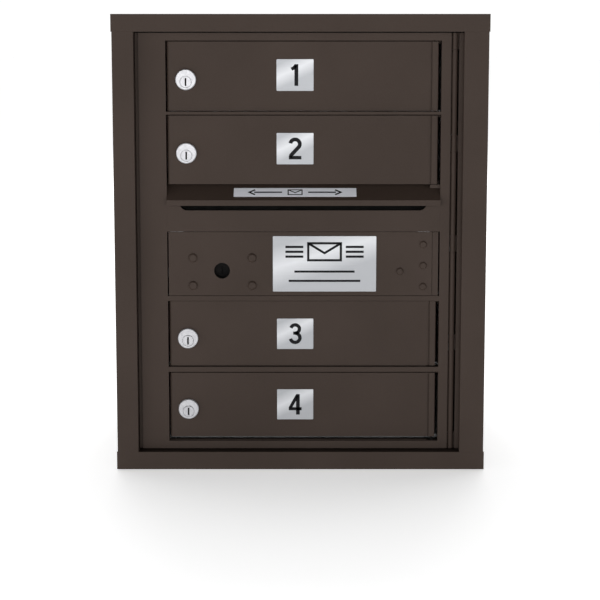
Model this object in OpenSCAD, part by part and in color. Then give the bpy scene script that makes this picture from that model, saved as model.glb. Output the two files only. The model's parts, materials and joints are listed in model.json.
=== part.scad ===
// Cluster mailbox unit: a sheet metal cabinet behind a picture-frame collar. One hinged master
// door carries four tenant doors with cam locks, an outgoing mail hood and slot, and a postal lock
// that slides a latch bar. The front faces -Y, +Z is up, the origin is the centre of the base.

/* [Cabinet] */
// Height of the whole unit
unit_h = 558.8; // [558:0.1:564]
// Depth of the whole unit, from the collar's face to the wall
unit_d = 431.8; // [360:0.1:480]
// Width across the collar's top and bottom rails
unit_w = 455.4; // [450:0.1:460]
// Thickness of the cabinet sheet
sheet_t = 1.6; // [1.4:0.1:1.8]
// Wall bolt spacing across the back
bolt_dx = 304.8; // [240:0.1:310]
// Wall bolt spacing up the back
bolt_dz = 406.4; // [395:0.1:410]
// Diameter of a wall bolt hole
bolt_hole_d = 8.7; // [7:0.1:11]

/* [Collar] */
// Thickness of the collar's face
collar_t = 2.5; // [2:0.1:3]
// Face width of the left stile
collar_left_w = 25.8; // [24:0.1:27]
// Face width of the right stile
collar_right_w = 29.7; // [29:0.1:31]
// Face height of the top rail
collar_top_h = 21.1; // [20:0.1:22]
// Face height of the bottom rail
collar_bottom_h = 22; // [21:0.1:23]
// How far the rails stand out past the stiles on each side
rail_overhang = 1; // [0.5:0.1:1.5]
// How far the stiles stand out past the cabinet sides
stile_overhang = 1; // [1:0.1:1.5]
// How far the master door's face lies behind the collar's face
door_recess = 11; // [10:0.1:12]

/* [Master door] */
// Gap beside the master door's free edge
master_gap_x = 0.8; // [0.7:0.1:1.5]
// Gap above the master door
master_gap_top = 1.2; // [1:0.1:2]
// Gap below the master door
master_gap_bottom = 2.2; // [1.5:0.1:2.5]
// Depth of the door frame's members
frame_d = 12; // [11:0.5:13]
// Face width of the frame's left stile
left_stile_w = 36.9; // [35:0.1:38]
// Width of the step along the left stile's free edge
edge_step_w = 4.1; // [3:0.1:5]
// Depth of that step behind the frame's face
edge_step_d = 3; // [2:0.1:4]
// Face width of the frame's right stile
right_stile_w = 11.4; // [10:0.1:12]
// Face height of the frame's top rail
top_rail_h = 9.3; // [9:0.1:10]
// Face height of the frame's bottom rail
bottom_rail_h = 9.6; // [9:0.1:10]
// Face height of the rail between the two upper doors
upper_rail_h = 3.5; // [3.4:0.1:4]
// Face height of the rails above and below door three
cross_rail_h = 6.3; // [6:0.1:7]
// Radius of the hinge knuckles
knuckle_r = 3.4; // [3.2:0.1:3.5]
// Radius of all the hinge pins
pin_r = 1.6; // [1.4:0.1:1.8]
// Radial clearance of everything that turns
running_gap = 0.05; // [0.02:0.01:0.08]

/* [Tenant doors] */
// Vertical spacing of neighbouring doors
door_pitch = 88.9; // [88:0.1:89.5]
// Height of the two doors above the hood
upper_door_h = 83.4; // [82:0.1:83.6]
// Height of the two doors below the lock panel
lower_door_h = 80.6; // [79:0.1:81]
// How far a door's face lies behind the frame's face
door_inset = 2; // [1.5:0.1:2.5]
// Thickness of the door's skin
skin_t = 2; // [1.8:0.1:2.2]
// Radius of the door's rolled free edge
door_edge_r = 3.4; // [3:0.1:3.8]
// Radius of the door's hinge barrel
barrel_r = 3.8; // [3.4:0.1:4]
// Width of a number plate
number_plate_w = 44.9; // [40:0.1:50]
// Height of a number plate
number_plate_h = 38.1; // [34:0.1:44]

/* [Locks] */
// Diameter of a cam lock's head
lock_head_d = 25; // [24:0.1:26]
// Diameter of the visible face of the key plug
plug_face_d = 13.3; // [12:0.1:14]
// How far the plug's axis lies below the head's centre
plug_drop = 2.8; // [2.4:0.1:3]
// Reach of the cam from the plug's axis
cam_reach = 34; // [32:0.1:35]
// Diameter of the postal lock's key hole
key_hole_d = 19.5; // [18.5:0.1:20]
// Radius of the postal lock's crank
crank_r = 10; // [9:0.1:10]

/* [Outgoing mail] */
// Height of the zone between door two and the lock panel
hood_zone_h = 57.3; // [56:0.1:58]
// Height of the lock panel's zone
lock_zone_h = 79.5; // [78.5:0.1:80]
// Thickness of the two fixed panels
panel_t = 2.5; // [2.2:0.1:2.8]
// How far the hood's lip stands in front of the door's face
hood_proud = 6; // [5:0.1:7]
// Slope of the hood in degrees
hood_angle = 36; // [35:0.5:37]

/* [Hidden] */
$fn = 48;
eps = 0.01;
DOORS = [1, 2, 3, 4];

// colours
BRONZE = [0.27, 0.23, 0.21];
ALUMINIUM = [0.72, 0.72, 0.72];
SATIN = [0.82, 0.82, 0.84];
STEEL = [0.55, 0.56, 0.58];
RUBBER = [0.06, 0.06, 0.06];
BLACK = [0.1, 0.1, 0.1];

// planes from front to back
front_y = -unit_d / 2;
back_y = unit_d / 2;
face_y = front_y + door_recess;
frame_back_y = face_y + frame_d;
door_y = face_y + door_inset;
seal_gap = 0.3;
seal_t = 3.7;
lip_y = frame_back_y + seal_gap + seal_t;
liner_y = face_y + 36;
through = 1;

// cabinet shell and collar
stile_x = unit_w / 2 - rail_overhang;
shell_x = stile_x - stile_overhang;
shell_y = front_y + collar_t;
top_z = unit_h - 1.4;
collar_x0 = -stile_x + collar_left_w;
collar_x1 = stile_x - collar_right_w;
collar_z0 = collar_bottom_h;
collar_z1 = unit_h - collar_top_h;
flange_d = 17;
flange_x = 205;
lip_w = 5;
side_flange_w = 14;

// cabinet rivets
rivet_r = 1.6;
rivet_head_r = 3.4;
rivet_head_t = 1;
rivet_front_y = shell_y + flange_d / 2;
rivet_back_y = back_y - 9;
rivet_xs = [for (i = [-1.5:1.5]) i * 110];
rivet_zs = [for (i = [-1.5:1.5]) unit_h / 2 + i * 150];
top_rivets = [for (x = rivet_xs, y = [rivet_front_y, rivet_back_y]) [x, y]];
side_rivets = [for (y = [rivet_front_y, rivet_back_y], z = rivet_zs) [y, z]];
rivet_chamfer = 1.2;
rivet_tail_r = 2.5;
rivet_tail_t = 1;
flange_gap = 2;

// master hinge
leaf_t = 5.2;
leaf_y = face_y + 0.5;
leaf_end_gap = 1;
hinge_gap = 1.7;
stile_gap = 1.15;
moving_leaf_t = 0.8;
moving_leaf_y = face_y + 3;
hinge_web_y = [face_y + 5.6, face_y + 7];
master_x = collar_x1 - leaf_t - hinge_gap - knuckle_r;
master_y = face_y + knuckle_r + 0.2;
master_x0 = collar_x0 + master_gap_x;
master_x1 = master_x - knuckle_r - stile_gap;
master_z0 = collar_z0 + master_gap_bottom;
master_z1 = collar_z1 - master_gap_top;
fixed_knuckles = 5;
fixed_knuckle_l = 20;
end_play = 0.3;
knuckle_step = (master_z1 - master_z0 - fixed_knuckle_l) / (fixed_knuckles - 1);
fixed_knuckle_zs = [for (i = [0:fixed_knuckles - 1]) master_z0 + i * knuckle_step];

// openings in the master door
open_x0 = master_x0 + left_stile_w;
open_x1 = master_x1 - right_stile_w;
open_top = master_z1 - top_rail_h;
door_top_gap = [1.2, 1.2, 0.5, 1.4];
door_hs = [upper_door_h, upper_door_h, lower_door_h, lower_door_h];
door_bottom_gap = 0.7;
hood_z1 = open_top - door_pitch - door_top_gap[1] - upper_door_h - door_bottom_gap;
panel_z1 = hood_z1 - hood_zone_h;
panel_z0 = panel_z1 - lock_zone_h;
lower_top = panel_z0 - cross_rail_h;
open_z1 = [open_top, open_top - door_pitch, lower_top, lower_top - door_pitch];
open_z0 = [open_z1[1] + upper_rail_h, hood_z1, open_z1[3] + cross_rail_h, master_z0 + bottom_rail_h];

// frame members
wall_t = 2;
web_t = 2.3;
hinge_boss_w = 12.3;
hood_boss_h = 4.4;
stop_t = 1;
stop_drop = 3.5;
pin_seat = 1.5;

// tenant doors
hinge_x = open_x1 - 3.8 - barrel_r;
hinge_y = door_y + barrel_r;
barrel_corner_r = 1.2;
door_x0 = open_x0 + 1.4;
door_groove = 1.3;
door_web_lap = 4;
door_web_y = door_y + 1.8;
door_web_t = 1.8;
skin_x1 = hinge_x - barrel_r - door_groove;
bevel_w = 3;
bevel_d = 0.9;
door_return_d = 8.5;
round_x = door_x0 + door_edge_r;
round_y = door_y + door_edge_r;
lock_x = open_x0 + 24.4;
plate_t = 0.6;
plate_x = -6.5;
plate_corner_r = 1;
plates_z = [for (z = open_z1) z - 41.3];
locks_z = [for (z = plates_z) z - 5.5];

// cam locks
lock_head_t = 3.5;
lock_bevel = 0.8;
lock_body_r = 9.5;
lock_body_l = 10.4;
plug_proud = 0.5;
plug_face_t = 2.4;
plug_ring = 0.4;
plug_r = 5.2;
plug_tail_r = 3.5;
key_w = 2;
key_h = 9.4;
key_deep = 2.5;
nut_r = 12.6;
nut_t = 3.5;
cam_y = frame_back_y + 0.7;
cam_t = 2.2;
cam_w = 15;
cam_tip_w = 11;
cam_screw_r = 4.4;
cam_screw_t = 1.8;

// outgoing hood, slot and flap
hood_t = 1.6;
hood_back = 20;
lip_h = 6.8;
lip_z1 = panel_z1 + 39;
lip_z0 = lip_z1 - lip_h;
hood_y0 = face_y - hood_proud;
hood_y1 = face_y + hood_back;
hood_flange_h = 3;
panel_play = 0.05;
cheek_y1 = hood_y1 + 12;
cheek_z0 = panel_z1 + 20;
slot_x0 = open_x0 + 15.7;
slot_x1 = open_x1 - 16.5;
slot_z0 = panel_z1 + 26;
slot_r = 9;
label_w = 150;
label_s0 = 6.5;
label_s1 = 22.3;
label_t = 0.4;
flap_y = face_y + 22;
flap_z = lip_z1 + 10.8;
flap_r = 3.2;
flap_t = 1.2;
flap_drop = 25.5;
trunnion_r = 2;
flap_side_gap = 0.5;
trunnion_end_gap = 0.2;

// lock panel
lock_panel_x0 = open_x0 + 1.6;
lock_panel_x1 = open_x1 - 1.8;
lock_panel_gap = 0.5;
panel_groove_x = hinge_x - 1.9;
panel_groove_w = 0.7;
panel_groove_d = 0.8;
key_hole_x = -96.2;
key_hole_z = panel_z0 + 31.2;
stud_x0 = key_hole_x + 0.65;
stud_z0 = key_hole_z - 1.2;
stud_dx = 72.5;
stud_dz = 34.2;
stud_r = 2.5;
stud_places = [for (x = [-1, 1], z = [-1, 1]) [stud_x0 + x * stud_dx / 2, stud_z0 + z * stud_dz / 2]];
stud_head_r = 5.8;
stud_head_t = 2.2;
stud_chamfer = 1.8;
stud_nut_r = 5;
stud_nut_t = 4;
service_w = 126.8;
service_h = 68.5;
service_x = 29.6;
service_z = panel_z0 + 39.7;
strap_xs = [lock_panel_x0 + 10.3, open_x1 - 20.2];
strap_w = 16;
strap_t = 2.5;
strap_z0 = panel_z0 + 2;
strap_z1 = panel_z1 + 16;
panel_rivet_r = 2;
panel_rivet_head_r = 4.7;
panel_rivet_head_t = 1.8;
panel_rivet_chamfer = 1.5;
panel_rivet_tail_t = 1;
panel_rivet_places = [
    for (z = [11.6, 37.6, 63.5]) [strap_xs[1], panel_z0 + z],
    [122.1, panel_z0 + 30.5]
];

// compartment walls; the first shelf is the ceiling over the top compartment
liner_x0 = open_x0 - 2.1;
liner_x1 = open_x1 + 1.8;
liner_z1 = top_z - 3 * sheet_t;
shelf_lip = 4;
shelf_tops = [open_top + 2 * sheet_t, open_z0[0], open_z0[1], panel_z0, open_z0[2], open_z0[3]];

// postal lock behind the key hole
case_flange_w = 90;
case_flange_h = 54;
case_flange_t = 2.5;
case_w = 54;
case_h = 50;
case_y0 = face_y + panel_t;
case_y1 = case_y0 + 21.5;
rotor_r = 9;
rotor_y0 = case_y0 + 8;
rotor_y1 = case_y1 - 3;
end_shake = 0.2;
shaft_r = 5;
crank_disc_r = 14;
crank_disc_t = 3;
crank_y = case_y1 + 0.8;
crank_pin_r = 2.5;
crank_dx = crank_r * cos(45);

// latch bar and its keepers
bar_x0 = master_x0 + 9.6;
bar_x1 = bar_x0 + 12;
bar_y0 = frame_back_y + 0.4;
bar_t = 3;
bar_y1 = bar_y0 + bar_t;
bar_z0 = master_z0 + 14;
bar_z1 = master_z1 - 21.6;
bar_travel = 2 * crank_r * sin(45);
arm_y0 = crank_y + crank_disc_t + 1;
arm_t = 2.5;
arm_h = 15;
arm_z = key_hole_z - bar_travel / 2;
arm_root = 3;
arm_end = 6;
slot_play = 0.5;
guide_zs = [105, 300, 440];
guide_h = 12;
guide_t = 2;
guide_play = [0.6, 0.4];
keeper_zs = [60, 335, 500];
keeper_half_h = 22;
keeper_y = bar_y1 + 3;
keeper_t = 2;
keeper_leg_d = 25;
keeper_x1 = bar_x1 + 4;
hook_x0 = bar_x0 + 2;
hook_x1 = bar_x1 - 2;
hook_neck_h = 6;
hook_head_h = 18;
hook_head_t = 3;
hook_head_y = keeper_y + keeper_t + 0.5;
window_gap = 1.5;

// A block from one corner to the opposite one.
module block(low, high) {
    translate(low) cube(high - low);
}

// A block given by its limits on each axis.
module slab(x, y, z) {
    block([x[0], y[0], z[0]], [x[1], y[1], z[1]]);
}

// A cylinder along +Y from y0 to y1.
module rod_y(x, z, y0, y1, r) {
    translate([x, y0, z]) rotate([-90, 0, 0]) cylinder(h = y1 - y0, r = r);
}

// A cone along +Y from radius r0 at y0 to radius r1 at y1.
module cone_y(x, z, y0, y1, r0, r1) {
    translate([x, y0, z]) rotate([-90, 0, 0]) cylinder(h = y1 - y0, r1 = r0, r2 = r1);
}

// A Y-Z outline extruded along X.
module side_outline(x0, x1) {
    translate([x0, 0, 0]) rotate([90, 0, 90]) linear_extrude(x1 - x0) children();
}

// An X-Z outline extruded along Y from y0 to y1.
module front_outline(y0, y1) {
    translate([0, y1, 0]) rotate([90, 0, 0]) linear_extrude(y1 - y0) children();
}

// A rectangle with round corners, centred on the origin.
module round_rect(w, h, r) {
    square([w - 2 * r, h], center = true);
    square([w, h - 2 * r], center = true);
    for (x = [-1, 1], y = [-1, 1])
        translate([x * (w / 2 - r), y * (h / 2 - r)]) circle(r);
}

// ---- cabinet ----

module top_rivet_holes() {
    for (p = top_rivets)
        translate([p[0], p[1], top_z - 3 * sheet_t]) cylinder(h = 4 * sheet_t, r = rivet_r);
}

module side_rivet_holes(side) {
    for (p = side_rivets)
        translate([side * shell_x, p[0], p[1]]) rotate([0, -side * 90, 0])
            translate([0, 0, -sheet_t]) cylinder(h = 4 * sheet_t, r = rivet_r);
}

module cabinet_top() {
    color(BRONZE) difference() {
        slab([-shell_x, shell_x], [shell_y, back_y], [top_z - sheet_t, top_z]);
        top_rivet_holes();
    }
}

module cabinet_bottom() {
    color(BRONZE) slab([-shell_x, shell_x], [shell_y, back_y], [0, sheet_t]);
}

// One side sheet with flanges turned in under the top and over the bottom.
module cabinet_side(side) {
    flange_y = [shell_y + flange_d + flange_gap, back_y - flange_d - flange_gap];
    color(BRONZE) difference() {
        scale([side, 1, 1]) union() {
            slab([shell_x - sheet_t, shell_x], [shell_y, back_y], [sheet_t, top_z - sheet_t]);
            for (z = [sheet_t, top_z - 2 * sheet_t])
                slab([shell_x - side_flange_w, shell_x - sheet_t + eps], flange_y, [z, z + sheet_t]);
        }
        side_rivet_holes(side);
    }
}

// The back sheet, with flanges turned forward inside the sides and the top.
module cabinet_back() {
    inner_x = shell_x - sheet_t;
    sheet_y = back_y - sheet_t;
    color(ALUMINIUM) difference() {
        union() {
            slab([-inner_x, inner_x], [sheet_y, back_y], [sheet_t, top_z - sheet_t]);
            for (side = [-1, 1])
                scale([side, 1, 1]) slab([inner_x - sheet_t, inner_x], [back_y - flange_d, sheet_y + eps],
                                         [3 * sheet_t, top_z - 3 * sheet_t]);
            slab([-flange_x, flange_x], [back_y - flange_d, sheet_y + eps],
                 [top_z - 2 * sheet_t, top_z - sheet_t]);
        }
        for (x = [-1, 1], z = [-1, 1])
            rod_y(x * bolt_dx / 2, unit_h / 2 + z * bolt_dz / 2, sheet_y - through, back_y + through,
                  bolt_hole_d / 2);
        top_rivet_holes();
        for (side = [-1, 1]) side_rivet_holes(side);
    }
}

// One rivet along +Z: its head on the outer sheet, its tail below the inner one.
module rivet() {
    cylinder(h = rivet_head_t, r1 = rivet_head_r, r2 = rivet_head_r - rivet_chamfer);
    translate([0, 0, -2 * sheet_t - eps]) cylinder(h = 2 * sheet_t + 2 * eps, r = rivet_r);
    translate([0, 0, -2 * sheet_t - rivet_tail_t]) cylinder(h = rivet_tail_t, r = rivet_tail_r);
}

module cabinet_rivets() {
    color(BRONZE) {
        for (p = top_rivets) translate([p[0], p[1], top_z]) rivet();
        for (side = [-1, 1], p = side_rivets)
            translate([side * shell_x, p[0], p[1]]) rotate([0, side * 90, 0]) rivet();
    }
}

// ---- collar ----

// A rail of the collar: its face, its flange by the cabinet sheet, its jamb and the seal's lip.
module collar_top_rail() {
    color(BRONZE) difference() {
        union() {
            slab([-unit_w / 2, unit_w / 2], [front_y, shell_y], [collar_z1, unit_h]);
            slab([-flange_x, flange_x], [shell_y - eps, shell_y + flange_d],
                 [top_z - 2 * sheet_t, top_z - sheet_t]);
            slab([collar_x0, collar_x1], [shell_y - eps, lip_y + sheet_t],
                 [collar_z1, collar_z1 + sheet_t]);
            slab([collar_x0, collar_x1], [lip_y, lip_y + sheet_t],
                 [collar_z1 - lip_w, collar_z1 + sheet_t]);
        }
        top_rivet_holes();
    }
}

module collar_bottom_rail() {
    color(BRONZE) {
        slab([-unit_w / 2, unit_w / 2], [front_y, shell_y], [0, collar_z0]);
        slab([-flange_x, flange_x], [shell_y - eps, shell_y + flange_d], [sheet_t, 2 * sheet_t]);
        slab([collar_x0, collar_x1], [shell_y - eps, lip_y + sheet_t],
             [collar_z0 - sheet_t, collar_z0]);
        slab([collar_x0, collar_x1], [lip_y, lip_y + sheet_t],
             [collar_z0 - sheet_t, collar_z0 + lip_w]);
    }
}

// A stile of the collar. side is -1 on the left; inner_x is its edge by the door, from the centre.
module collar_stile(side, inner_x) {
    outer_x = shell_x - sheet_t;
    scale([side, 1, 1]) {
        slab([inner_x, stile_x], [front_y, shell_y], [collar_z0, collar_z1]);
        slab([outer_x - sheet_t, outer_x], [shell_y - eps, shell_y + flange_d], [collar_z0, collar_z1]);
        slab([inner_x, inner_x + sheet_t], [shell_y - eps, lip_y + sheet_t], [collar_z0, collar_z1]);
    }
}

module collar_left_stile() {
    color(BRONZE) difference() {
        union() {
            collar_stile(-1, -collar_x0);
            slab([collar_x0 - eps, collar_x0 + lip_w], [lip_y, lip_y + sheet_t],
                 [collar_z0 + lip_w, collar_z1 - lip_w]);
        }
        side_rivet_holes(-1);
    }
}

module collar_right_stile() {
    color(BRONZE) difference() {
        collar_stile(1, collar_x1);
        side_rivet_holes(1);
    }
}

// A foam strip on the collar's lip, along the left, the top and the bottom.
module weather_seal() {
    y = [lip_y - seal_t, lip_y];
    seal_x1 = collar_x1 - leaf_t - flange_gap;
    color(RUBBER) {
        slab([collar_x0, collar_x0 + lip_w], y, [collar_z0, collar_z1]);
        for (z = [collar_z0, collar_z1 - lip_w])
            slab([collar_x0 + lip_w - eps, seal_x1], y, [z, z + lip_w]);
    }
}

// ---- compartments ----

// A compartment wall with flanges turned away from the mail. side is -1 on the left.
module liner(x, side) {
    outer = x + side * sheet_t;
    flange = x + side * side_flange_w;
    color(ALUMINIUM) {
        slab([min(x, outer), max(x, outer)], [liner_y, back_y - sheet_t], [sheet_t, liner_z1]);
        for (y = [liner_y, back_y - 2 * sheet_t])
            slab([min(x, flange), max(x, flange)], [y, y + sheet_t], [sheet_t, liner_z1]);
    }
}

module left_liner() {
    liner(liner_x0, -1);
}

module right_liner() {
    liner(liner_x1, 1);
}

module compartment_shelves() {
    color(ALUMINIUM) for (z = shelf_tops) {
        slab([liner_x0, liner_x1], [liner_y, back_y - sheet_t], [z - sheet_t, z]);
        slab([liner_x0, liner_x1], [liner_y, liner_y + sheet_t], [z - shelf_lip, z]);
    }
}

// ---- master hinge ----

// A knuckle from z0 to z1 with a web to x, drilled to hole_r.
module knuckle(z0, z1, x, hole_r) {
    web_x = [min(master_x, x), max(master_x, x)];
    difference() {
        union() {
            translate([master_x, master_y, z0]) cylinder(h = z1 - z0, r = knuckle_r);
            slab(web_x, hinge_web_y, [z0, z1]);
        }
        translate([master_x, master_y, z0 - through]) cylinder(h = z1 - z0 + 2 * through, r = hole_r);
    }
}

module master_hinge_fixed_leaf() {
    leaf_x0 = collar_x1 - leaf_t;
    color(BRONZE) {
        slab([leaf_x0, collar_x1], [leaf_y, lip_y - leaf_end_gap], [master_z0, master_z1]);
        for (z = fixed_knuckle_zs) knuckle(z, z + fixed_knuckle_l, leaf_x0 + eps, pin_r);
    }
}

module master_hinge_pin() {
    color(BLACK) translate([master_x, master_y, master_z0]) cylinder(h = master_z1 - master_z0, r = pin_r);
}

module master_hinge_moving_leaf() {
    plate_x1 = master_x1 + moving_leaf_t;
    color(BRONZE) {
        slab([master_x1, plate_x1], [moving_leaf_y, frame_back_y], [master_z0, master_z1]);
        for (i = [0:fixed_knuckles - 2])
            knuckle(fixed_knuckle_zs[i] + fixed_knuckle_l + end_play, fixed_knuckle_zs[i + 1] - end_play,
                    plate_x1 - eps, pin_r + running_gap);
    }
}

// ---- master door frame ----

// The left stile: a tube along Z, stepped back along its free edge.
module frame_left_stile() {
    whole_z = [master_z0, master_z1];
    bore_z = [master_z0 - eps, master_z1 + eps];
    inner_y = frame_back_y - wall_t;
    step_x = master_x0 + edge_step_w;
    step_y = face_y + edge_step_d;
    color(BRONZE) difference() {
        slab([master_x0, open_x0], [face_y, frame_back_y], whole_z);
        slab([master_x0 - eps, step_x], [face_y - eps, step_y], bore_z);
        slab([step_x + wall_t, open_x0 - wall_t], [face_y + wall_t, inner_y], bore_z);
        slab([master_x0 + wall_t, step_x + wall_t + eps], [step_y + wall_t, inner_y], bore_z);
    }
}

// The right stile: a square tube along Z.
module frame_right_stile() {
    color(BRONZE) difference() {
        slab([open_x1, master_x1], [face_y, frame_back_y], [master_z0, master_z1]);
        slab([open_x1 + wall_t, master_x1 - wall_t], [face_y + wall_t, frame_back_y - wall_t],
             [master_z0 - eps, master_z1 + eps]);
    }
}

// A rail between the stiles: a face, a web behind it, a boss for the tenant hinge pins and a stop
// that the doors close against, which hangs drop below the face.
module rail(z0, z1, web_z, drop = stop_drop) {
    slab([open_x0, open_x1], [face_y, face_y + wall_t], [z0, z1]);
    slab([open_x0, open_x1], [face_y + wall_t - eps, frame_back_y], [web_z, web_z + web_t]);
    slab([open_x1 - hinge_boss_w, open_x1], [face_y + wall_t - eps, frame_back_y], [z0, z1]);
    slab([open_x0, open_x1], [frame_back_y - stop_t, frame_back_y], [z0 - drop, z1]);
}

// The boss on the right stile that holds the foot of door two's hinge pin.
module hood_boss() {
    slab([open_x1 - hinge_boss_w, open_x1], [door_y + wall_t, frame_back_y],
         [hood_z1 - hood_boss_h, hood_z1]);
}

// The pins of the tenant hinges, r wide, each seated in the rails above and below its door.
module tenant_pins(r) {
    for (n = [0:3])
        translate([hinge_x, hinge_y, open_z0[n] - pin_seat])
            cylinder(h = open_z1[n] - open_z0[n] + 2 * pin_seat, r = r);
}

module frame_rails() {
    color(BRONZE) difference() {
        union() {
            rail(open_top, master_z1, master_z1 - web_t);
            rail(open_z1[1], open_z0[0], (open_z1[1] + open_z0[0] - web_t) / 2);
            for (z = [panel_z0, open_z0[2]])
                rail(z - cross_rail_h, z, z - (cross_rail_h + web_t) / 2);
            hood_boss();
            rail(master_z0, open_z0[3], master_z0, 0);
        }
        tenant_pins(pin_r);
    }
}

module door_hinge_pins() {
    color(BLACK) tenant_pins(pin_r);
}

// ---- outgoing mail ----

// Height of the hood's upper surface at y.
function hood_top(y) = lip_z1 + (y - hood_y0) * tan(hood_angle);
// Height of its lower surface at y.
function hood_under(y) = hood_top(y) - hood_t / cos(hood_angle);

module outgoing_panel() {
    panel_top = hood_under(face_y) - panel_play;
    color(BRONZE) front_outline(face_y, face_y + panel_t) difference() {
        translate([open_x0, panel_z1]) square([open_x1 - open_x0, panel_top - panel_z1]);
        translate([slot_x0, slot_z0 + slot_r]) square([slot_x1 - slot_x0, panel_top]);
        translate([slot_x0 + slot_r, slot_z0]) square([slot_x1 - slot_x0 - 2 * slot_r, panel_top]);
        for (x = [slot_x0 + slot_r, slot_x1 - slot_r])
            translate([x, slot_z0 + slot_r]) circle(slot_r);
    }
}

// The lip, the slope and the rear flange as one folded sheet.
module hood_sheet() {
    inner_y = hood_y1 - hood_t;
    flange_z = hood_top(hood_y1) + hood_flange_h;
    polygon([
        [hood_y0, lip_z0], [hood_y0, lip_z1], [inner_y, hood_top(inner_y)], [inner_y, flange_z],
        [hood_y1, flange_z], [hood_y1, hood_under(hood_y1)],
        [hood_y0 + hood_t, hood_under(hood_y0 + hood_t)], [hood_y0 + hood_t, lip_z0]
    ]);
}

// The cheek in front of the panel and the one behind it, which carries the flap.
module hood_cheeks() {
    back = face_y + panel_t;
    into = hood_t / 2;
    polygon([[hood_y0 + into, lip_z0], [hood_y0 + into, hood_under(hood_y0 + into) + into],
             [face_y, hood_under(face_y) + into], [face_y, lip_z0]]);
    polygon([[back, cheek_z0], [back, hood_under(back) + into],
             [hood_y1 - into, hood_under(hood_y1 - into) + into], [hood_y1 - into, hood_under(hood_y1)],
             [cheek_y1, hood_under(hood_y1)], [cheek_y1, cheek_z0]]);
}

module outgoing_hood() {
    color(BRONZE) difference() {
        union() {
            side_outline(open_x0, open_x1) hood_sheet();
            side_outline(open_x0, open_x0 + hood_t) hood_cheeks();
            side_outline(open_x1 - hood_t, open_x1) hood_cheeks();
        }
        side_outline(open_x0 - through, open_x1 + through)
            translate([flap_y, flap_z]) circle(trunnion_r + running_gap);
    }
}

// A thin plate lying on the hood's slope.
module outgoing_label() {
    along = [cos(hood_angle), sin(hood_angle)];
    up = [-sin(hood_angle), cos(hood_angle)];
    foot = [hood_y0, lip_z1];
    color(SATIN) side_outline(plate_x - label_w / 2, plate_x + label_w / 2)
        polygon([foot + label_s0 * along, foot + label_s1 * along,
                 foot + label_s1 * along + label_t * up, foot + label_s0 * along + label_t * up]);
}

// The flap behind the slot, hung on trunnions in the hood's cheeks.
module mail_flap() {
    x0 = open_x0 + hood_t + flap_side_gap;
    x1 = open_x1 - hood_t - flap_side_gap;
    color(BLACK) {
        side_outline(x0, x1) {
            translate([flap_y, flap_z]) circle(flap_r);
            translate([flap_y - flap_t / 2, flap_z - flap_drop]) square([flap_t, flap_drop]);
        }
        side_outline(open_x0 + trunnion_end_gap, open_x1 - trunnion_end_gap)
            translate([flap_y, flap_z]) circle(trunnion_r);
    }
}

// ---- lock panel ----

module lock_panel() {
    back = face_y + panel_t;
    color(BRONZE) difference() {
        slab([lock_panel_x0, lock_panel_x1], [face_y, back],
             [panel_z0 + lock_panel_gap, panel_z1 - lock_panel_gap]);
        slab([panel_groove_x, panel_groove_x + panel_groove_w], [face_y - through, face_y + panel_groove_d],
             [panel_z0, panel_z1]);
        rod_y(key_hole_x, key_hole_z, face_y - through, back + through, key_hole_d / 2);
        for (p = stud_places) rod_y(p[0], p[1], face_y - through, back + through, stud_r);
        for (p = panel_rivet_places) rod_y(p[0], p[1], face_y - through, back + through, panel_rivet_r);
    }
}

// Straps that tie the lock panel to the outgoing panel and the rail below.
module panel_straps() {
    y0 = face_y + panel_t;
    color(ALUMINIUM) difference() {
        for (x = strap_xs)
            slab([x - strap_w / 2, x + strap_w / 2], [y0, y0 + strap_t], [strap_z0, strap_z1]);
        for (p = panel_rivet_places)
            rod_y(p[0], p[1], y0 - through, y0 + strap_t + through, panel_rivet_r);
    }
}

module panel_rivets() {
    color(BRONZE) for (p = panel_rivet_places) {
        in_strap = p[0] == strap_xs[1];
        back = face_y + panel_t + (in_strap ? strap_t : 0);
        cone_y(p[0], p[1], face_y - panel_rivet_head_t, face_y, panel_rivet_head_r - panel_rivet_chamfer,
               panel_rivet_head_r);
        rod_y(p[0], p[1], face_y - eps, back + eps, panel_rivet_r);
        rod_y(p[0], p[1], back, back + panel_rivet_tail_t, panel_rivet_r + panel_rivet_tail_t);
    }
}

module service_label() {
    color(SATIN) front_outline(face_y - plate_t, face_y)
        translate([service_x, service_z]) round_rect(service_w, service_h, plate_corner_r);
}

module postal_lock_case() {
    front = case_y0 + case_flange_t;
    color(BLACK) difference() {
        union() {
            slab([stud_x0 - case_flange_w / 2, stud_x0 + case_flange_w / 2], [case_y0, front],
                 [stud_z0 - case_flange_h / 2, stud_z0 + case_flange_h / 2]);
            slab([stud_x0 - case_w / 2, stud_x0 + case_w / 2], [front - eps, case_y1],
                 [stud_z0 - case_h / 2, stud_z0 + case_h / 2]);
        }
        rod_y(key_hole_x, key_hole_z, case_y0 - through, rotor_y1, rotor_r + running_gap);
        rod_y(key_hole_x, key_hole_z, case_y0, case_y1 + through, shaft_r + running_gap);
        for (p = stud_places) rod_y(p[0], p[1], case_y0 - through, front + through, stud_r);
    }
}

module postal_lock_studs() {
    back = case_y0 + case_flange_t + stud_nut_t + through;
    color(BRONZE) for (p = stud_places) {
        cone_y(p[0], p[1], face_y - stud_head_t, face_y, stud_head_r - stud_chamfer, stud_head_r);
        rod_y(p[0], p[1], face_y - eps, back, stud_r);
    }
}

module postal_lock_nuts() {
    y0 = case_y0 + case_flange_t;
    color(STEEL) for (p = stud_places) difference() {
        translate([p[0], y0, p[1]]) rotate([-90, 0, 0]) cylinder(h = stud_nut_t, r = stud_nut_r, $fn = 6);
        rod_y(p[0], p[1], y0 - through, y0 + stud_nut_t + through, stud_r);
    }
}

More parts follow.
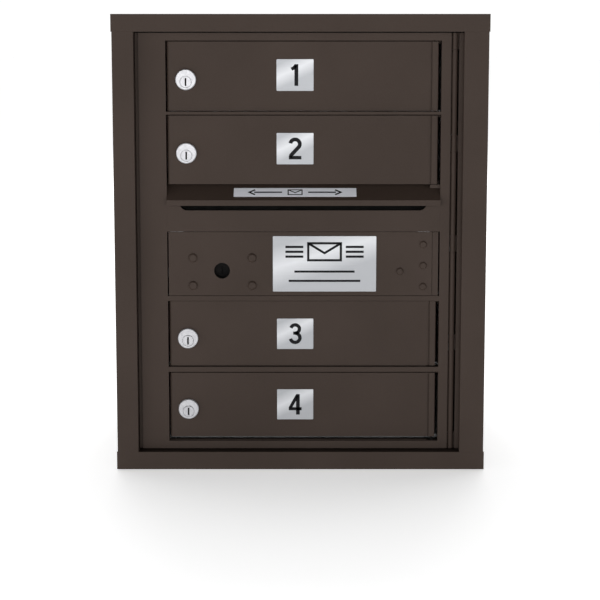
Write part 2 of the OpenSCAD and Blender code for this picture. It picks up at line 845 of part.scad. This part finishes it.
// The turning part of the postal lock: keyed disc, shaft, crank disc and crank pin.
module postal_lock_rotor() {
    disc_y1 = rotor_y1 - end_shake;
    color(BLACK) difference() {
        union() {
            rod_y(key_hole_x, key_hole_z, rotor_y0, disc_y1, rotor_r);
            rod_y(key_hole_x, key_hole_z, disc_y1 - eps, crank_y + eps, shaft_r);
            rod_y(key_hole_x, key_hole_z, crank_y, crank_y + crank_disc_t, crank_disc_r);
            rod_y(key_hole_x + crank_dx, key_hole_z - crank_dx, crank_y, arm_y0 + arm_t + through,
                  crank_pin_r);
        }
        slab([key_hole_x - key_w / 2, key_hole_x + key_w / 2], [rotor_y0 - through, rotor_y0 + key_deep],
             [key_hole_z - key_h / 2, key_hole_z + key_h / 2]);
    }
}

// ---- latch ----

// The bar behind the left stile, its arm to the crank and its hooks.
module latch_bar() {
    slot_half = crank_pin_r + slot_play;
    slot_x = [key_hole_x + crank_dx - slot_half, key_hole_x + crank_r + slot_half];
    arm_x = [bar_x1 - arm_root, slot_x[1] + arm_end];
    arm_zs = [arm_z - arm_h / 2, arm_z + arm_h / 2];
    color(STEEL) difference() {
        union() {
            slab([bar_x0, bar_x1], [bar_y0, bar_y1], [bar_z0, bar_z1]);
            slab([bar_x1 - arm_root, bar_x1 + arm_root], [bar_y0, arm_y0 + arm_t], arm_zs);
            slab(arm_x, [arm_y0, arm_y0 + arm_t], arm_zs);
            for (z = keeper_zs) {
                slab([hook_x0, hook_x1], [bar_y1 - eps, hook_head_y + eps],
                     [z - hook_head_h / 2, z - hook_head_h / 2 + hook_neck_h]);
                slab([hook_x0, hook_x1], [hook_head_y, hook_head_y + hook_head_t],
                     [z - hook_head_h / 2, z + hook_head_h / 2]);
            }
        }
        slab(slot_x, [arm_y0 - through, arm_y0 + arm_t + through], [arm_z - slot_half, arm_z + slot_half]);
    }
}

// Staples that hold the bar against the stile.
module latch_guides() {
    inner = [bar_x0 - guide_play[0], bar_x1 + guide_play[0]];
    back = bar_y1 + guide_play[1];
    color(ALUMINIUM) for (z = guide_zs) difference() {
        slab([inner[0] - guide_t, inner[1] + guide_t], [frame_back_y, back + guide_t], [z, z + guide_h]);
        slab(inner, [frame_back_y - through, back], [z - through, z + guide_h + through]);
    }
}

// Brackets on the cabinet side, each with a window that a hook passes through.
module latch_keepers() {
    wall_x = -shell_x + sheet_t;
    window_x = [hook_x0 - window_gap, hook_x1 + window_gap];
    neck_z1 = hook_neck_h - hook_head_h / 2 + bar_travel;
    color(STEEL) for (z = keeper_zs) difference() {
        union() {
            slab([wall_x, keeper_x1], [keeper_y, keeper_y + keeper_t],
                 [z - keeper_half_h, z + keeper_half_h]);
            slab([wall_x, wall_x + keeper_t], [keeper_y, keeper_y + keeper_leg_d],
                 [z - keeper_half_h, z + keeper_half_h]);
        }
        slab(window_x, [keeper_y - through, keeper_y + keeper_t + through],
             [z - hook_head_h / 2 - window_gap, z + neck_z1 + window_gap]);
    }
}

// ---- tenant doors, counted from 0 ----

// The door's outline in plan with its rolled free edge, filled in.
module door_outline() {
    translate([round_x, door_y]) square([skin_x1 - round_x, door_return_d]);
    translate([door_x0, round_y]) square([skin_x1 - door_x0, door_return_d - door_edge_r]);
    translate([round_x, round_y]) circle(door_edge_r);
}

// The space behind the skin and beside the return.
module door_hollow() {
    span = skin_x1 - door_x0;
    translate([round_x, door_y + skin_t]) square([span, door_return_d]);
    translate([door_x0 + skin_t, round_y]) square([span, door_return_d]);
    translate([round_x, round_y]) circle(door_edge_r - skin_t);
}

// The door's cross section: rolled free edge, skin, groove and hinge barrel.
module door_profile() {
    past = through;
    corner_x = barrel_r - barrel_corner_r;
    difference() {
        door_outline();
        door_hollow();
        polygon([[skin_x1 - bevel_w, door_y], [skin_x1 - bevel_w, door_y - past],
                 [skin_x1 + past, door_y - past],
                 [skin_x1 + past, door_y + bevel_d * (bevel_w + past) / bevel_w]]);
    }
    difference() {
        union() {
            translate([skin_x1 - door_web_lap, door_web_y])
                square([hinge_x - skin_x1 + door_web_lap, door_web_t]);
            translate([hinge_x, hinge_y]) circle(barrel_r);
            translate([hinge_x - corner_x, door_y]) square([2 * corner_x, barrel_r]);
            translate([hinge_x - barrel_r, door_y + barrel_corner_r])
                square([2 * barrel_r, barrel_r - barrel_corner_r]);
            for (x = [-corner_x, corner_x])
                translate([hinge_x + x, door_y + barrel_corner_r]) circle(barrel_corner_r);
        }
        translate([hinge_x, hinge_y]) circle(pin_r + running_gap);
    }
}

function door_z0(n) = open_z1[n] - door_top_gap[n] - door_hs[n];

module door(n) {
    color(BRONZE) difference() {
        translate([0, 0, door_z0(n)]) linear_extrude(door_hs[n]) door_profile();
        rod_y(lock_x, locks_z[n], door_y - through, door_y + skin_t + through, lock_body_r);
    }
}

module number_plate(n) {
    color(SATIN) front_outline(door_y - plate_t, door_y)
        translate([plate_x, plates_z[n]]) round_rect(number_plate_w, number_plate_h, plate_corner_r);
}

// The cylinder of a cam lock: a bevelled head on the door and a threaded body through it.
module lock_housing(n) {
    z = locks_z[n];
    front = door_y - lock_head_t;
    plug_z = z - plug_drop;
    head_r = lock_head_d / 2;
    color(SATIN) difference() {
        union() {
            cone_y(lock_x, z, front, front + lock_bevel, head_r - lock_bevel, head_r);
            rod_y(lock_x, z, front + lock_bevel - eps, door_y, head_r);
            rod_y(lock_x, z, door_y - eps, door_y + lock_body_l, lock_body_r);
        }
        rod_y(lock_x, plug_z, front - through, front + plug_face_t + running_gap,
              plug_face_d / 2 + plug_ring);
        rod_y(lock_x, plug_z, front, door_y + lock_body_l + through, plug_r + running_gap);
    }
}

module lock_nut(n) {
    y0 = door_y + skin_t;
    color(STEEL) difference() {
        translate([lock_x, y0, locks_z[n]]) rotate([-90, 0, 0]) cylinder(h = nut_t, r = nut_r, $fn = 6);
        rod_y(lock_x, locks_z[n], y0 - through, y0 + nut_t + through, lock_body_r);
    }
}

// The keyed plug, with a tail that carries the cam.
module lock_plug(n) {
    front = door_y - lock_head_t;
    z = locks_z[n] - plug_drop;
    color(SATIN) difference() {
        union() {
            rod_y(lock_x, z, front - plug_proud, front + plug_face_t, plug_face_d / 2);
            rod_y(lock_x, z, front + plug_face_t - eps, cam_y, plug_r);
            rod_y(lock_x, z, cam_y - eps, cam_y + cam_t, plug_tail_r);
        }
        slab([lock_x - key_w / 2, lock_x + key_w / 2], [front - plug_proud - through, front + key_deep],
             [z - key_h / 2, z + key_h / 2]);
    }
}

// The cam, pointing up when the lock is open, and the screw that holds it.
module lock_cam(n) {
    z = locks_z[n] - plug_drop;
    hub_r = cam_w / 2;
    color(STEEL) {
        difference() {
            front_outline(cam_y, cam_y + cam_t) translate([lock_x, z]) {
                circle(hub_r);
                polygon([[-hub_r, 0], [hub_r, 0], [cam_tip_w / 2, cam_reach], [-cam_tip_w / 2, cam_reach]]);
            }
            rod_y(lock_x, z, cam_y - through, cam_y + cam_t + through, plug_tail_r);
        }
        rod_y(lock_x, z, cam_y + cam_t, cam_y + cam_t + cam_screw_t, cam_screw_r);
    }
}

cabinet_top();
cabinet_bottom();
cabinet_side(-1);  // cabinet_left_side
cabinet_side(1);  // cabinet_right_side
cabinet_back();
collar_top_rail();
collar_bottom_rail();
collar_left_stile();
collar_right_stile();
left_liner();
right_liner();
compartment_shelves();
weather_seal();
latch_keepers();
cabinet_rivets();
master_hinge_fixed_leaf();
master_hinge_pin();
frame_left_stile();
frame_right_stile();
frame_rails();
master_hinge_moving_leaf();
door_hinge_pins();
outgoing_panel();
outgoing_hood();
outgoing_label();
mail_flap();
lock_panel();
panel_straps();
panel_rivets();
service_label();
postal_lock_case();
postal_lock_studs();
postal_lock_nuts();
postal_lock_rotor();
latch_guides();
latch_bar();
for (n = DOORS) {
    door(n - 1);
    number_plate(n - 1);
    lock_housing(n - 1);
    lock_nut(n - 1);
    lock_plug(n - 1);
    lock_cam(n - 1);
}
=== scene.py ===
"""Cluster mailbox unit: materials, printed marks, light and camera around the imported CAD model.

All distances are metres in the CAD frame: the front faces -Y, +Z is up.
"""

import json
import math

import bpy
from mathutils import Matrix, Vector

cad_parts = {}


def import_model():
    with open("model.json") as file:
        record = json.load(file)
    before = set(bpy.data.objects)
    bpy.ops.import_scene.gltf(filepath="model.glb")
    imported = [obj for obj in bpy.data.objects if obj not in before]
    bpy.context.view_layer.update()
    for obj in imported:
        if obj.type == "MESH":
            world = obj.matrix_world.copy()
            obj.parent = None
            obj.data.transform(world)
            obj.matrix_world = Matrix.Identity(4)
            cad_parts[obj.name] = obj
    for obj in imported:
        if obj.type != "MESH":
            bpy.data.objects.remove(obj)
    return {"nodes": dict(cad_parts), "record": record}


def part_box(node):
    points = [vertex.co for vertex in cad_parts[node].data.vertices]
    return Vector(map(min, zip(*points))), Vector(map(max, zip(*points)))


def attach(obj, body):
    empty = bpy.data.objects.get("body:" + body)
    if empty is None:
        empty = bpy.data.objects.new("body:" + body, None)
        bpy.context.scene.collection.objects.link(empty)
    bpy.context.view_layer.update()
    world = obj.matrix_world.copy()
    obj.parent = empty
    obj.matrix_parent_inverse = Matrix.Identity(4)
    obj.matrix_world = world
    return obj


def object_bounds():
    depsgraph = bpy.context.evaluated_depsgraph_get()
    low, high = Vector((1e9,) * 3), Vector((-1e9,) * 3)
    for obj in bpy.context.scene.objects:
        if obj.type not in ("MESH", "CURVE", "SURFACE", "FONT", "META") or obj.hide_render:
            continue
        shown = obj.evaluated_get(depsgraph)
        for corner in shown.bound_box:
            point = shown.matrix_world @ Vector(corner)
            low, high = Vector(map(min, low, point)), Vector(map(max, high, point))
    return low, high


MM = 0.001
EDGE_RADIUS = 0.4 * MM
HOOD_SLOPE = math.radians(36)
SHARP_ANGLE = math.radians(25)
WELD_DISTANCE = 0.002 * MM
DOORS = (1, 2, 3, 4)

# Light. The world's brightness falls from HORIZON to ZENITH between two heights of the direction's
# unit vector. BACKDROP is what the camera sees of the world.
HORIZON = 1.2
ZENITH = 0.02
FALL_START = 0.02
FALL_END = 0.5
BACKDROP = 1.05
FLOOR_GLOW = 0.52
FLOOR_HALF_SIZE = 40

# The corners of a square, counter-clockwise.
SQUARE = ((-1, -1), (1, -1), (1, 1), (-1, 1))

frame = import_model()
cad_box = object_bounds()


# ---- helpers ----

def set_range(node, low, high, out_low, out_high):
    """Sets what a Map Range node takes in and gives out."""
    for key, value in zip(("From Min", "From Max", "To Min", "To Max"), (low, high, out_low, out_high)):
        node.inputs[key].default_value = value


def add_object(name, data):
    """A new object in the scene."""
    obj = bpy.data.objects.new(name, data)
    bpy.context.scene.collection.objects.link(obj)
    return obj


def add_mesh(name, verts, faces, material):
    """A new object with a mesh of one material."""
    mesh = bpy.data.meshes.new(name)
    mesh.from_pydata(verts, [], faces)
    mesh.materials.append(material)
    return add_object(name, mesh)


class Shader:
    """A Principled material with short ways to add procedural detail to it."""

    def __init__(self, name, **values):
        self.material = bpy.data.materials.new(name)
        self.material.use_nodes = True
        self.tree = self.material.node_tree
        self.bsdf = self.tree.nodes["Principled BSDF"]
        for key, value in values.items():
            self.bsdf.inputs[key.replace("_", " ")].default_value = value
        self.coords = self.add("ShaderNodeTexCoord").outputs["Object"]

    def add(self, kind, **settings):
        node = self.tree.nodes.new(kind)
        for key, value in settings.items():
            setattr(node, key, value)
        return node

    def link(self, source, target):
        self.tree.links.new(source, target)

    def stretched(self, scale):
        """The object coordinates, multiplied by scale along each axis."""
        node = self.add("ShaderNodeMapping")
        node.inputs["Scale"].default_value = scale
        self.link(self.coords, node.inputs["Vector"])
        return node.outputs["Vector"]

    def noise(self, scale, detail=2.0, roughness=0.5, vector=None):
        """Noise from 0 to 1, over the object coordinates unless a vector is given."""
        node = self.add("ShaderNodeTexNoise")
        node.inputs["Scale"].default_value = scale
        node.inputs["Detail"].default_value = detail
        node.inputs["Roughness"].default_value = roughness
        self.link(vector or self.coords, node.inputs["Vector"])
        return node.outputs["Fac"]

    def ramp(self, factor, low, high, out_low, out_high):
        """The factor, taken from low..high to out_low..out_high."""
        node = self.add("ShaderNodeMapRange")
        set_range(node, low, high, out_low, out_high)
        self.link(factor, node.inputs["Value"])
        return node.outputs["Result"]

    def math(self, operation, *values):
        node = self.add("ShaderNodeMath", operation=operation)
        for socket, value in zip(node.inputs, values):
            if isinstance(value, (int, float)):
                socket.default_value = value
            else:
                self.link(value, socket)
        return node.outputs[0]

    def blend(self, factor, first, second):
        """A colour between first and second."""
        node = self.add("ShaderNodeMix", data_type="RGBA")
        self.link(factor, node.inputs["Factor"])
        for socket, value in ((node.inputs["A"], first), (node.inputs["B"], second)):
            if isinstance(value, tuple):
                socket.default_value = (*value, 1.0)
            else:
                self.link(value, socket)
        return node.outputs["Result"]

    def colour(self, source):
        self.link(source, self.bsdf.inputs["Base Color"])

    def roughness(self, source):
        self.link(source, self.bsdf.inputs["Roughness"])

    def bump(self, *layers):
        """Layers of (height, depth in metres), one on another."""
        normal = self.soft_edges()
        for height, depth in layers:
            node = self.add("ShaderNodeBump")
            node.inputs["Distance"].default_value = depth
            self.link(height, node.inputs["Height"])
            self.link(normal, node.inputs["Normal"])
            normal = node.outputs["Normal"]
        self.link(normal, self.bsdf.inputs["Normal"])

    def soft_edges(self):
        """A normal that rounds the piece's sharp edges, for the first bump layer to start from."""
        node = self.add("ShaderNodeBevel", samples=4)
        node.inputs["Radius"].default_value = EDGE_RADIUS
        return node.outputs["Normal"]


# ---- materials ----

def powder_coat(name="bronze_powder_coat"):
    """Dark bronze powder coat: orange peel, a fine grain and a slow drift in tone."""
    s = Shader(name, Specular_IOR_Level=0.22)
    drift = s.noise(9, detail=3)
    grain = s.noise(2600, detail=1)
    peel = s.noise(620, detail=2)
    tone = s.blend(s.ramp(drift, 0.35, 0.65, 0, 1), (0.040, 0.0265, 0.0200), (0.0455, 0.0305, 0.0235))
    s.colour(s.blend(s.ramp(grain, 0.55, 0.8, 0, 0.25), tone, (0.075, 0.055, 0.045)))
    s.roughness(s.ramp(peel, 0.3, 0.7, 0.58, 0.7))
    s.bump((peel, 0.00006), (grain, 0.000012))
    return s.material


def label_silver():
    """Satin foil: fine level brushing, and a painted reflection, a pale band of painted sheen that crosses
    each plate at a slant.
    """
    s = Shader("label_silver", Metallic=0.35)
    brush = s.noise(1, detail=3, vector=s.stretched((25, 25, 5200)))
    axes = s.add("ShaderNodeSeparateXYZ")
    s.link(s.add("ShaderNodeTexCoord").outputs["Generated"], axes.inputs["Vector"])
    # Painted reflection: a pale band at a slant, lighter in the base colour, that stands in for the glare on
    # the foil.
    lean, middle, falloff = -0.55, 0.42, 2.6
    slant = s.math("ADD", axes.outputs["Z"], s.math("MULTIPLY", axes.outputs["X"], lean))
    off_middle = s.math("ABSOLUTE", s.math("MULTIPLY", s.math("SUBTRACT", slant, middle), falloff))
    painted_sheen = s.math("SUBTRACT", 1.0, off_middle)
    base = s.blend(s.ramp(painted_sheen, 0, 1, 0, 1), (0.38, 0.39, 0.41), (0.62, 0.63, 0.65))
    s.colour(s.blend(s.ramp(brush, 0.3, 0.7, 0, 0.12), base, (0.30, 0.31, 0.33)))
    s.roughness(s.ramp(brush, 0.3, 0.7, 0.34, 0.46))
    s.bump((brush, 0.000006))
    return s.material


def label_white():
    """The slope's label: a pale film with the same fine brushing."""
    s = Shader("label_white", Metallic=0.1)
    brush = s.noise(1, detail=3, vector=s.stretched((25, 3200, 3200)))
    s.colour(s.blend(s.ramp(brush, 0.3, 0.7, 0, 1), (0.84, 0.85, 0.91), (0.90, 0.91, 0.96)))
    s.roughness(s.ramp(brush, 0.3, 0.7, 0.4, 0.52))
    s.bump((brush, 0.000006))
    return s.material


def lock_satin():
    """Satin chrome on a die-cast lock."""
    s = Shader("lock_satin", Metallic=0.6)
    grain = s.noise(3800, detail=2)
    cloud = s.noise(260, detail=2)
    s.colour(s.blend(s.ramp(cloud, 0.3, 0.7, 0, 1), (0.44, 0.44, 0.46), (0.52, 0.52, 0.54)))
    s.roughness(s.ramp(grain, 0.3, 0.7, 0.30, 0.42))
    s.bump((grain, 0.000008))
    return s.material


def mill_aluminium():
    """Rolled sheet: long grain up the sheet and faint handling marks."""
    s = Shader("mill_aluminium", Metallic=1.0)
    rolled = s.noise(1, detail=4, vector=s.stretched((1400, 1400, 9)))
    marks = s.noise(16, detail=5, roughness=0.6)
    s.colour(s.blend(s.ramp(marks, 0.4, 0.7, 0, 1), (0.50, 0.50, 0.51), (0.41, 0.41, 0.42)))
    s.roughness(s.ramp(rolled, 0.3, 0.7, 0.36, 0.52))
    s.bump((rolled, 0.000012))
    return s.material


def zinc_steel():
    """Zinc plate: soft spangle and a fine grain."""
    s = Shader("zinc_steel", Metallic=1.0)
    cells = s.add("ShaderNodeTexVoronoi")
    cells.inputs["Scale"].default_value = 260
    s.link(s.coords, cells.inputs["Vector"])
    spangle = s.math("FRACT", s.math("MULTIPLY", cells.outputs["Distance"], 2.7))
    grain = s.noise(2400, detail=2)
    s.colour(s.blend(spangle, (0.40, 0.41, 0.42), (0.50, 0.51, 0.50)))
    s.roughness(s.ramp(grain, 0.3, 0.7, 0.34, 0.5))
    s.bump((grain, 0.00001))
    return s.material


def seal_rubber():
    """Closed-cell foam strip."""
    s = Shader("seal_rubber", Specular_IOR_Level=0.3)
    cells = s.noise(1500, detail=3)
    s.colour(s.blend(cells, (0.010, 0.010, 0.010), (0.024, 0.024, 0.024)))
    s.roughness(s.ramp(cells, 0.3, 0.7, 0.75, 0.95))
    s.bump((cells, 0.00012))
    return s.material


def black_oxide():
    """Oiled black oxide on steel, made near-black as painted shade: it stands in for the shade behind the
    mail slot and in the empty postal lock hole.
    """
    s = Shader("black_oxide_steel", Specular_IOR_Level=0.1)
    cloud = s.noise(90, detail=3)
    grain = s.noise(2800, detail=2)
    # Painted shade: this near-black colour stands in for the shade in the mail slot, the postal lock hole and
    # the keyways.
    s.colour(s.blend(s.ramp(cloud, 0.35, 0.65, 0, 1), (0.004, 0.0038, 0.0036), (0.009, 0.0082, 0.0076)))
    s.roughness(s.ramp(grain, 0.3, 0.7, 0.6, 0.75))
    s.bump((grain, 0.00001))
    return s.material


def black_ink():
    """Screen-printed ink on a plate."""
    s = Shader("black_ink", Specular_IOR_Level=0.12)
    grain = s.noise(5200, detail=1)
    s.colour(s.blend(grain, (0.004, 0.004, 0.005), (0.009, 0.009, 0.011)))
    s.roughness(s.ramp(grain, 0.3, 0.7, 0.42, 0.55))
    s.bump((grain, 0.000004))
    return s.material


MATERIALS = {
    "bronze_powder_coat": powder_coat(),
    "mill_aluminium": mill_aluminium(),
    "label_silver": label_silver(),
    "lock_satin_chrome": lock_satin(),
    "zinc_steel": zinc_steel(),
    "seal_rubber": seal_rubber(),
    "black_oxide_steel": black_oxide(),
}
INK = black_ink()
SLOPE_LABEL = label_white()


# ---- finish of the CAD nodes ----

def sheet_edges():
    """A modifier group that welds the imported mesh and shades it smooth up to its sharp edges."""
    group = bpy.data.node_groups.new("sheet_edges", "GeometryNodeTree")
    group.interface.new_socket("Geometry", in_out="INPUT", socket_type="NodeSocketGeometry")
    group.interface.new_socket("Geometry", in_out="OUTPUT", socket_type="NodeSocketGeometry")
    add = group.nodes.new
    entry, leave = add("NodeGroupInput"), add("NodeGroupOutput")
    weld = add("GeometryNodeMergeByDistance")
    weld.inputs["Distance"].default_value = WELD_DISTANCE
    smooth = add("GeometryNodeSetShadeSmooth")
    smooth.domain = "FACE"
    sharp = add("GeometryNodeSetShadeSmooth")
    sharp.domain = "EDGE"
    sharp.inputs["Shade Smooth"].default_value = False
    angle = add("GeometryNodeInputMeshEdgeAngle")
    steep = add("FunctionNodeCompare")
    steep.data_type = "FLOAT"
    steep.operation = "GREATER_THAN"
    steep.inputs["B"].default_value = SHARP_ANGLE
    link = group.links.new
    link(entry.outputs[0], weld.inputs["Geometry"])
    link(weld.outputs["Geometry"], smooth.inputs["Geometry"])
    link(smooth.outputs["Geometry"], sharp.inputs["Geometry"])
    link(angle.outputs["Unsigned Angle"], steep.inputs["A"])
    link(steep.outputs["Result"], sharp.inputs["Selection"])
    link(sharp.outputs["Geometry"], leave.inputs[0])
    return group


EDGES = sheet_edges()


def finish_node(node, slot):
    """Gives a CAD node its material and its shading."""
    node.data.materials.clear()
    on_slope = node == frame["nodes"]["outgoing_label"]
    node.data.materials.append(SLOPE_LABEL if on_slope else MATERIALS[slot])
    node.modifiers.new("edges", "NODES").node_group = EDGES


for part in frame["record"]["subparts"]:
    finish_node(frame["nodes"][part["node"]], part["material_slot"])


# ---- printed marks ----

INK_T = 0.12 * MM
INK_LIFT = 0.01 * MM


def arc(x, y, rx, ry, start, end, steps=16):
    """Points on an ellipse about (x, y), from one angle to another in degrees."""
    angles = [math.radians(start + (end - start) * i / steps) for i in range(steps + 1)]
    return [(x + rx * math.cos(a), y + ry * math.sin(a)) for a in angles]


def stroke_edges(path, width, closed):
    """The left and right edges of a stroke of this width along path, mitred at its corners."""
    sides = ([], [])
    count = len(path)
    for i, (x, y) in enumerate(path):
        before = path[i - 1] if closed or i > 0 else None
        after = path[(i + 1) % count] if closed or i < count - 1 else None
        ways = []
        if before:
            ways.append(Vector((x - before[0], y - before[1])).normalized())
        if after:
            ways.append(Vector((after[0] - x, after[1] - y)).normalized())
        way = sum(ways, Vector((0, 0))).normalized()
        normal = Vector((-way.y, way.x))
        reach = width / 2 / max(0.5, abs(way.dot(ways[0])))
        for side, sign in zip(sides, (1, -1)):
            side.append((x + sign * reach * normal.x, y + sign * reach * normal.y))
    return sides


def ink(name, strokes, place, body, up=Vector((0, 0, 1)), out=Vector((0, -1, 0))):
    """Raised ink: strokes of (path, width, closed) in mm on a plate, printed about place."""
    across = Vector((1, 0, 0))
    verts, faces = [], []
    for path, width, closed in strokes:
        left, right = stroke_edges(path, width, closed)
        first, count = len(verts), len(path)
        for lift in (0, INK_T):
            for x, y in left + right:
                verts.append(place + across * x * MM + up * y * MM + out * (INK_LIFT + lift))
        l0, r0, l1, r1 = (first + k * count for k in range(4))
        for i in range(count if closed else count - 1):
            j = (i + 1) % count
            faces += [(l1 + i, r1 + i, r1 + j, l1 + j), (l0 + i, l0 + j, r0 + j, r0 + i),
                      (l0 + i, l1 + i, l1 + j, l0 + j), (r0 + i, r0 + j, r1 + j, r1 + i)]
        if not closed:
            for i in (0, count - 1):
                faces.append((l0 + i, r0 + i, r1 + i, l1 + i))
    obj = add_mesh(name, verts, faces, INK)
    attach(obj, body)


def digit_strokes(n):
    """The strokes of a plain digit, 26 mm tall and about 15 mm wide, centred on the origin."""
    heavy = 4.6
    if n == 1:
        return [([(1.6, -13), (1.6, 13)], heavy, False),
                ([(-4.4, 7.0), (-1.4, 8.6), (1.0, 11.4)], 4.0, False)]
    if n == 2:
        top = arc(0, 5.5, 5.8, 5.7, 170, -35)
        return [(top + [(-0.6, -3.4), (-4.6, -7.6), (-5.6, -10.6)], heavy, False),
                ([(-7.6, -10.9), (7.7, -10.9)], 4.2, False)]
    if n == 3:
        return [(arc(0, 6.0, 5.3, 5.2, 165, -90), 4.2, False), (arc(0, -5.0, 5.9, 5.8, 90, -168), 4.3, False),
                ([(-2.4, 0.8), (0.2, 0.8)], 3.8, False)]
    return [([(3.4, -13), (3.4, 13)], heavy, False), ([(-8.0, -5.6), (8.0, -5.6)], 3.9, False),
            ([(2.4, 11.0), (-6.2, -4.6)], 4.0, False)]


def plate_front(node):
    """The centre of a plate's front face."""
    low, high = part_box(node)
    return Vector(((low[0] + high[0]) / 2, low[1], (low[2] + high[2]) / 2))


def envelope(x, y, w, h, width):
    """The strokes of a closed envelope about (x, y)."""
    corners = [(x + sx * w / 2, y + sy * h / 2) for sx, sy in SQUARE]
    flap = [(x - w / 2, y + h / 2), (x, y - h * 0.08), (x + w / 2, y + h / 2)]
    return [(corners, width, True), (flap, width, False)]


def bar(x, y, w, width):
    """The stroke of a level bar, w long."""
    return [([(x - w / 2, y), (x + w / 2, y)], width, False)]


def printed_marks():
    """A digit on each number plate, and pictures of mail in place of lettering on the two labels."""
    for n in DOORS:
        ink(f"digit_{n}", digit_strokes(n), plate_front(f"number_plate_{n}"), f"tenant_door_{n}")
    service = envelope(0, 15, 40, 21, 2.8)
    for side in (-1, 1):
        for y in (9, 15, 21):
            service += bar(side * 37, y, 22, 2.8)
    service += bar(0, -9.5, 74, 2.6) + bar(0, -21, 88, 2.6)
    ink("service_mark", service, plate_front("service_label"), "master_door")
    low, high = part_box("outgoing_label")
    up = Vector((0, math.cos(HOOD_SLOPE), math.sin(HOOD_SLOPE)))
    out = Vector((0, -math.sin(HOOD_SLOPE), math.cos(HOOD_SLOPE)))
    half_thickness = 0.2 * MM
    middle = Vector([(a + b) / 2 for a, b in zip(low, high)]) + out * half_thickness
    outgoing = envelope(0, 0, 17, 9, 1.3)
    for side in (-1, 1):
        outgoing += bar(side * 33, 0, 34, 2.2)
        outgoing.append(([(side * 49, 4.4), (side * 56, 0), (side * 49, -4.4)], 2.2, False))
    ink("outgoing_mark", outgoing, middle, "master_door", up, out)


def keyway_shade_sheet(n):
    """A near-black sheet just behind a plug's keyway, painted shade that stands in for the keyway's dark
    depth: two leaves that meet in a shallow V.
    """
    low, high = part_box(f"lock_plug_{n}")
    x, z = (low[0] + high[0]) / 2, (low[2] + high[2]) / 2
    half_w, half_h = 0.98 * MM, 4.68 * MM
    front, groove, back = low[1] + 0.5 * MM, low[1] + 1.0 * MM, low[1] + 2.4 * MM
    outline = [(-half_w, back), (-half_w, front), (0, groove), (half_w, front), (half_w, back)]
    verts = [(x + dx, y, z + dz) for dz in (-half_h, half_h) for dx, y in outline]
    count = len(outline)
    faces = [tuple(range(count))[::-1], tuple(range(count, 2 * count))]
    faces += [(i, (i + 1) % count, count + (i + 1) % count, count + i) for i in range(count)]
    # Painted shade: the near-black sheet fills the keyway so that it reads as the shade inside it.
    obj = add_mesh(f"keyway_shade_sheet_{n}", verts, faces, MATERIALS["black_oxide_steel"])
    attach(obj, f"tenant_lock_{n}")


printed_marks()
for door in DOORS:
    keyway_shade_sheet(door)


# ---- stage, light and camera ----

def floor():
    """A matte white floor with a little glow of its own, which keeps the shadows on it pale."""
    s = Shader("floor", Roughness=1.0, Specular_IOR_Level=0.0, Base_Color=(0.93, 0.93, 0.93, 1),
               Emission_Color=(1, 1, 1, 1), Emission_Strength=FLOOR_GLOW)
    corners = [(x * FLOOR_HALF_SIZE, y * FLOOR_HALF_SIZE, 0) for x, y in SQUARE]
    obj = add_mesh("floor", corners, [(0, 1, 2, 3)], s.material)
    return obj


def world():
    """A white room whose ceiling is dim, so that faces that look up are darker than the front."""
    w = bpy.data.worlds.new("studio")
    bpy.context.scene.world = w
    w.use_nodes = True
    tree = w.node_tree
    add, link = tree.nodes.new, tree.links.new
    axes = add("ShaderNodeSeparateXYZ")
    link(add("ShaderNodeTexCoord").outputs["Generated"], axes.inputs["Vector"])
    height = add("ShaderNodeMapRange")
    height.interpolation_type = "SMOOTHSTEP"
    set_range(height, FALL_START, FALL_END, HORIZON, ZENITH)
    link(axes.outputs["Z"], height.inputs["Value"])
    seen = add("ShaderNodeMix")
    seen.inputs["B"].default_value = BACKDROP
    link(add("ShaderNodeLightPath").outputs["Is Camera Ray"], seen.inputs["Factor"])
    link(height.outputs["Result"], seen.inputs["A"])
    link(seen.outputs["Result"], tree.nodes["Background"].inputs["Strength"])
    tree.nodes["Background"].inputs["Color"].default_value = (1, 1, 1, 1)


def softbox(name, place, target, size, watts):
    """A rectangular light at place that faces target."""
    light = bpy.data.lights.new(name, "AREA")
    light.shape = "RECTANGLE"
    light.size, light.size_y = size
    light.energy = watts
    obj = add_object(name, light)
    obj.location = place
    obj.rotation_euler = (Vector(target) - Vector(place)).to_track_quat("-Z", "Y").to_euler()


def floor_sun(lit, strength, elevation, spread):
    """A soft sun from behind the unit that lights the floor only, and casts its shadow forward."""
    light = bpy.data.lights.new("floor_sun", "SUN")
    light.energy = strength
    light.angle = math.radians(spread)
    obj = add_object("floor_sun", light)
    obj.rotation_euler = (math.radians(elevation - 90), 0, 0)
    group = bpy.data.collections.new("floor_only")
    group.objects.link(lit)
    obj.light_linking.receiver_collection = group


def camera():
    """Just above the unit's top, looking down at it."""
    data = bpy.data.cameras.new("camera")
    data.sensor_width = 36
    data.lens = 106.56
    obj = add_object("camera", data)
    distance_to_collar = 2.152
    height = 0.5343
    pitch_down = 8.5
    obj.location = (-0.5 * MM, cad_box[0][1] - distance_to_collar, height)
    obj.rotation_euler = (math.radians(90 - pitch_down), 0, 0)
    bpy.context.scene.camera = obj


bpy.context.scene.view_settings.view_transform = "Standard"
ground = floor()
world()
softbox("front", place=(0, -5, 0.8), target=(0, 0, 0.28), size=(7, 1.5), watts=76)
softbox("rear_top", place=(0, 3.8, 3.3), target=(0, 0, 0.5), size=(3, 3), watts=100)
softbox("left", place=(-4.2, -2.2, 0.6), target=(0, -0.2, 0.3), size=(2.2, 1.8), watts=34)
floor_sun(ground, strength=1.6, elevation=55, spread=70)
camera()
